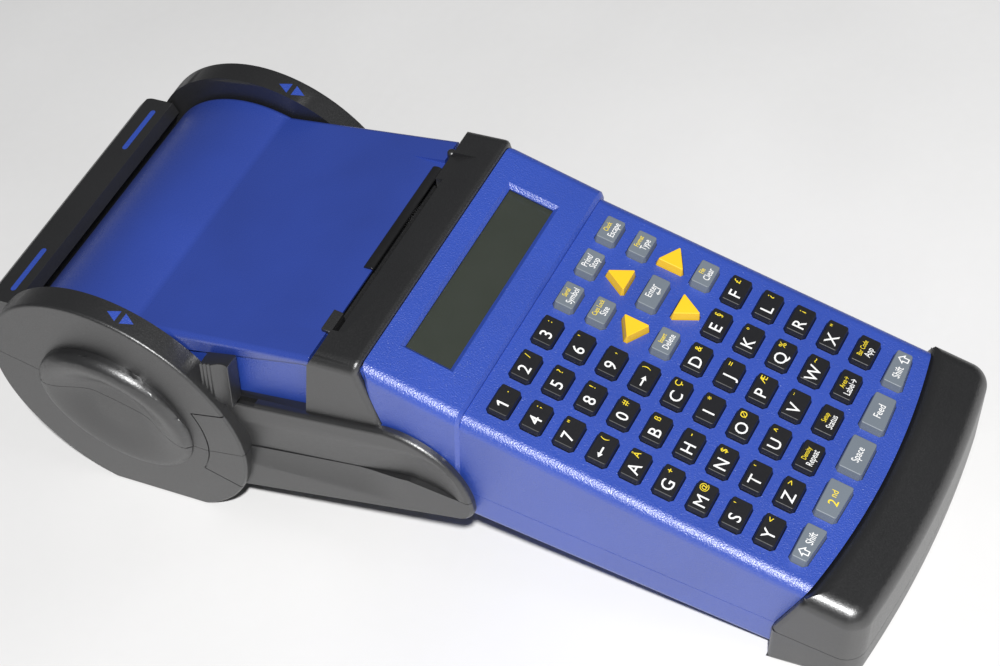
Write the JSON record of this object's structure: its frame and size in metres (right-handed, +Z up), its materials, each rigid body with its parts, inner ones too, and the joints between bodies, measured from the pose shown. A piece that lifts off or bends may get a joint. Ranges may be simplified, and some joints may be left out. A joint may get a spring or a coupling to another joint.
{
  "type": "label maker",
  "caption": "Hand-held label maker with a sloped keyboard, small display, hinged roll cover between round side pods and a tape slot behind a neck band.",
  "frame": {"origin": "on the table, under the middle of the outline", "axes": "+X to the user's right, +Y from the front bumper towards the label roll, +Z up"},
  "size_m": [0.121, 0.3001, 0.0897],
  "materials": {
    "blue_case": "fine texture",
    "black_body": "satin texture",
    "black_rubber": "matt",
    "key_black": "satin",
    "key_grey": "satin",
    "key_yellow": "satin",
    "clear_lens": "clear",
    "display_panel": "satin",
    "circuit_board": "matt",
    "cell_wrap": "gloss",
    "steel": "brushed",
    "dark_steel": "blackened",
    "white_nylon": "satin",
    "head_ceramic": "glazed",
    "label_paper": "matt",
    "ribbon_film": "gloss"
  },
  "bodies": {
    "case": {"upper_housing": "blue_case", "lower_housing": "blue_case", "bumper_upper": "black_rubber", "bumper_lower": "black_rubber", "neck_band": "black_body", "side_frame_left": "black_body", "side_frame_right": "black_body", "printer_base": "black_body", "rear_bar": "black_body", "base_feet": "black_rubber", "roll_spindle": "steel", "mech_chassis": "steel", "drive_motor": "steel", "head_pin": "steel", "head_spring": "steel", "ribbon_frame": "black_body", "battery_pack": "cell_wrap", "dc_jack": "black_body", "housing_screws": "steel", "display_lens": "clear_lens", "display_module": "display_panel", "keypad_mat": "black_rubber", "main_board": "circuit_board"},
    "roll_cover": {"roll_cover": "blue_case", "tear_plate": "dark_steel"},
    "cover_latch": {"cover_latch": "black_body"},
    "edge_guide": {"edge_guide": "black_body"},
    "label_roll": {"label_roll": "label_paper", "roll_holders": "black_body"},
    "platen": {"platen_roller": "black_rubber", "platen_shaft": "steel", "platen_gear": "white_nylon"},
    "idler_gear": {"idler_gear": "white_nylon"},
    "motor_pinion": {"motor_pinion": "white_nylon"},
    "print_head": {"print_head": "head_ceramic", "head_bracket": "steel"},
    "ribbon_supply": {"ribbon_supply_spool": "ribbon_film"},
    "ribbon_takeup": {"ribbon_takeup_spool": "ribbon_film"},
    "battery_door": {"battery_door": "blue_case"},
    "number_keys": {"number_keys": "key_black"},
    "letter_keys_upper": {"letter_keys_upper": "key_black"},
    "letter_keys_middle": {"letter_keys_middle": "key_black"},
    "letter_keys_lower": {"letter_keys_lower": "key_black"},
    "key_symbol": {"key_symbol": "key_grey"},
    "key_print": {"key_print": "key_grey"},
    "key_escape": {"key_escape": "key_grey"},
    "key_size": {"key_size": "key_grey"},
    "key_type": {"key_type": "key_grey"},
    "key_delete": {"key_delete": "key_grey"},
    "key_clear": {"key_clear": "key_grey"},
    "key_enter": {"key_enter": "key_grey"},
    "key_up": {"key_up": "key_yellow"},
    "key_left": {"key_left": "key_yellow"},
    "key_right": {"key_right": "key_yellow"},
    "key_down": {"key_down": "key_yellow"},
    "key_shift_left": {"key_shift_left": "key_grey"},
    "key_second": {"key_second": "key_grey"},
    "key_space": {"key_space": "key_grey"},
    "key_feed": {"key_feed": "key_grey"},
    "key_shift_right": {"key_shift_right": "key_grey"}
  },
  "joints": [
    {"name": "cover_hinge", "type": "hinge", "parent": "case", "child": "roll_cover", "pos_m": [0, 0.10088, 0.04306], "axis": [-1, 0, 0], "range_deg": [0, 60]},
    {"name": "latch_slide", "type": "slide", "parent": "case", "child": "cover_latch", "axis": [0, -0.9964, 0.085], "range_m": [0, 0.003], "stiffness_N_per_m": 150},
    {"name": "guide_slide", "type": "slide", "parent": "case", "child": "edge_guide", "axis": [1, 0, 0], "range_m": [0, 0.013]},
    {"name": "roll_spin", "type": "hinge", "parent": "case", "child": "label_roll", "pos_m": [0, 0.10088, 0.04306], "axis": [1, 0, 0], "continuous": true},
    {"name": "platen_spin", "type": "hinge", "parent": "case", "child": "platen", "pos_m": [0, 0.02768, 0.07193], "axis": [1, 0, 0], "continuous": true},
    {"name": "idler_spin", "type": "hinge", "parent": "case", "child": "idler_gear", "pos_m": [0, 0.03643, 0.05307], "axis": [1, 0, 0], "continuous": true},
    {"name": "pinion_spin", "type": "hinge", "parent": "case", "child": "motor_pinion", "pos_m": [0, 0.04063, 0.03598], "axis": [1, 0, 0], "continuous": true},
    {"name": "head_tilt", "type": "hinge", "parent": "case", "child": "print_head", "pos_m": [0, 0.02128, 0.04977], "axis": [1, 0, 0], "range_deg": [0, 3], "stiffness_Nm_per_rad": 0.5},
    {"name": "supply_spin", "type": "hinge", "parent": "case", "child": "ribbon_supply", "pos_m": [0, 0.05092, 0.06117], "axis": [1, 0, 0], "continuous": true},
    {"name": "takeup_spin", "type": "hinge", "parent": "case", "child": "ribbon_takeup", "pos_m": [0, 0.0239, 0.03703], "axis": [1, 0, 0], "continuous": true},
    {"name": "door_slide", "type": "slide", "parent": "case", "child": "battery_door", "axis": [0, -0.9711, -0.2385], "range_m": [0, 0.008]},
    {"name": "number_keys_press", "type": "slide", "parent": "case", "child": "number_keys", "axis": [0, 0.3453, -0.9385], "range_m": [0, 0.0012], "stiffness_N_per_m": 800},
    {"name": "letter_keys_upper_press", "type": "slide", "parent": "case", "child": "letter_keys_upper", "axis": [0, 0.3453, -0.9385], "range_m": [0, 0.0012], "stiffness_N_per_m": 800},
    {"name": "letter_keys_middle_press", "type": "slide", "parent": "case", "child": "letter_keys_middle", "axis": [0, 0.3453, -0.9385], "range_m": [0, 0.0012], "stiffness_N_per_m": 800},
    {"name": "letter_keys_lower_press", "type": "slide", "parent": "case", "child": "letter_keys_lower", "axis": [0, 0.3453, -0.9385], "range_m": [0, 0.0012], "stiffness_N_per_m": 800},
    {"name": "key_symbol_press", "type": "slide", "parent": "case", "child": "key_symbol", "axis": [0, 0.3453, -0.9385], "range_m": [0, 0.0012], "stiffness_N_per_m": 200},
    {"name": "key_print_press", "type": "slide", "parent": "case", "child": "key_print", "axis": [0, 0.3453, -0.9385], "range_m": [0, 0.0012], "stiffness_N_per_m": 200},
    {"name": "key_escape_press", "type": "slide", "parent": "case", "child": "key_escape", "axis": [0, 0.3453, -0.9385], "range_m": [0, 0.0012], "stiffness_N_per_m": 200},
    {"name": "key_size_press", "type": "slide", "parent": "case", "child": "key_size", "axis": [0, 0.3453, -0.9385], "range_m": [0, 0.0012], "stiffness_N_per_m": 200},
    {"name": "key_type_press", "type": "slide", "parent": "case", "child": "key_type", "axis": [0, 0.3453, -0.9385], "range_m": [0, 0.0012], "stiffness_N_per_m": 200},
    {"name": "key_delete_press", "type": "slide", "parent": "case", "child": "key_delete", "axis": [0, 0.3453, -0.9385], "range_m": [0, 0.0012], "stiffness_N_per_m": 200},
    {"name": "key_clear_press", "type": "slide", "parent": "case", "child": "key_clear", "axis": [0, 0.3453, -0.9385], "range_m": [0, 0.0012], "stiffness_N_per_m": 200},
    {"name": "key_enter_press", "type": "slide", "parent": "case", "child": "key_enter", "axis": [0, 0.3453, -0.9385], "range_m": [0, 0.0012], "stiffness_N_per_m": 200},
    {"name": "key_up_press", "type": "slide", "parent": "case", "child": "key_up", "axis": [0, 0.3453, -0.9385], "range_m": [0, 0.0012], "stiffness_N_per_m": 200},
    {"name": "key_left_press", "type": "slide", "parent": "case", "child": "key_left", "axis": [0, 0.3453, -0.9385], "range_m": [0, 0.0012], "stiffness_N_per_m": 200},
    {"name": "key_right_press", "type": "slide", "parent": "case", "child": "key_right", "axis": [0, 0.3453, -0.9385], "range_m": [0, 0.0012], "stiffness_N_per_m": 200},
    {"name": "key_down_press", "type": "slide", "parent": "case", "child": "key_down", "axis": [0, 0.3453, -0.9385], "range_m": [0, 0.0012], "stiffness_N_per_m": 200},
    {"name": "key_shift_left_press", "type": "slide", "parent": "case", "child": "key_shift_left", "axis": [0, 0.3453, -0.9385], "range_m": [0, 0.0012], "stiffness_N_per_m": 200},
    {"name": "key_second_press", "type": "slide", "parent": "case", "child": "key_second", "axis": [0, 0.3453, -0.9385], "range_m": [0, 0.0012], "stiffness_N_per_m": 200},
    {"name": "key_space_press", "type": "slide", "parent": "case", "child": "key_space", "axis": [0, 0.3453, -0.9385], "range_m": [0, 0.0012], "stiffness_N_per_m": 200},
    {"name": "key_feed_press", "type": "slide", "parent": "case", "child": "key_feed", "axis": [0, 0.3453, -0.9385], "range_m": [0, 0.0012], "stiffness_N_per_m": 200},
    {"name": "key_shift_right_press", "type": "slide", "parent": "case", "child": "key_shift_right", "axis": [0, 0.3453, -0.9385], "range_m": [0, 0.0012], "stiffness_N_per_m": 200}
  ],
  "couplings": [
    {"joint": "idler_spin", "follows": "platen_spin", "ratio": -0.625},
    {"joint": "pinion_spin", "follows": "platen_spin", "ratio": 1.6667}
  ]
}
